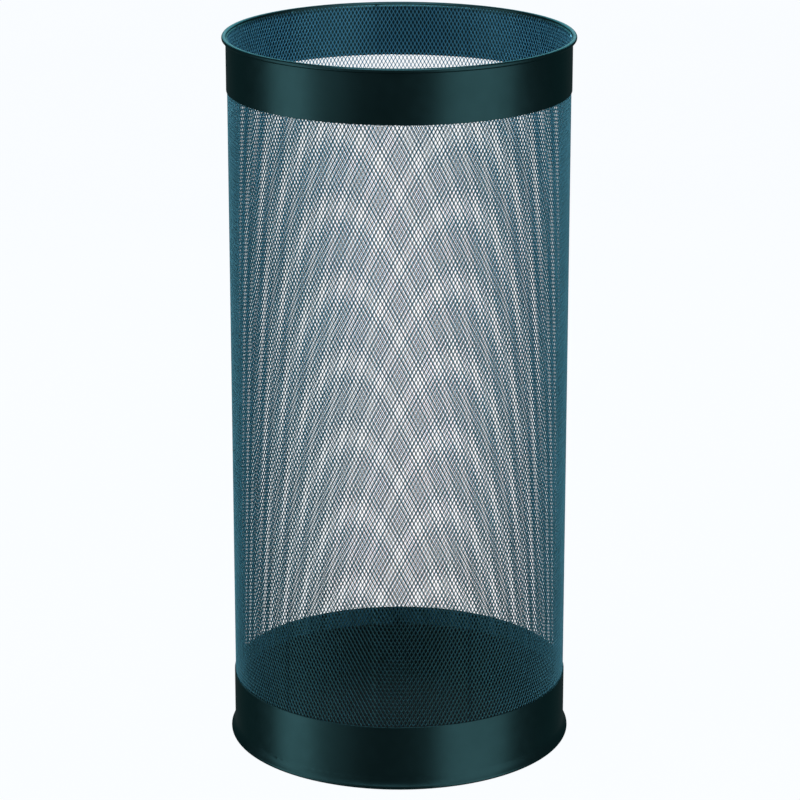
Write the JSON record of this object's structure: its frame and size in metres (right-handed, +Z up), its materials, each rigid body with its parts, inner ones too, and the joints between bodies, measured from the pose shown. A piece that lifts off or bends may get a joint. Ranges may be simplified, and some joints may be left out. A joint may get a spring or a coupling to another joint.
{
  "type": "umbrella stand",
  "caption": "Tall round umbrella stand: a fine metal mesh tube held between solid top and bottom bands with beaded edges, with a lift-out drip tray inside.",
  "frame": {"origin": "on the floor, on the stand's vertical axis", "axes": "+Z up along the stand's axis; +X towards the mesh's welded seam; -Y is the side seen from the front"},
  "size_m": [0.239, 0.239, 0.5],
  "materials": {
    "enamel_steel": "semi-gloss dark teal enamel",
    "mesh_steel": "semi-gloss dark teal enamel on fine expanded mesh",
    "edge_wire": "plain drawn wire, hidden in the rolled edge",
    "tray_plastic": "dark green, fine moulded grain",
    "pad_rubber": "matt"
  },
  "bodies": {
    "stand": {"top_band": "enamel_steel", "rim_wire": "edge_wire", "mesh_sleeve": "mesh_steel", "seam_strip": "mesh_steel", "bottom_band": "enamel_steel", "foot_wire": "edge_wire", "base_pan": "enamel_steel", "floor_pad_1": "pad_rubber", "floor_pad_2": "pad_rubber", "floor_pad_3": "pad_rubber", "floor_pad_4": "pad_rubber"},
    "tray": {"drip_tray": "tray_plastic"}
  },
  "joints": [
    {"name": "tray_lift", "type": "slide", "parent": "stand", "child": "tray", "axis": [0, 0, 1], "range_m": [0, 0.5]}
  ]
}
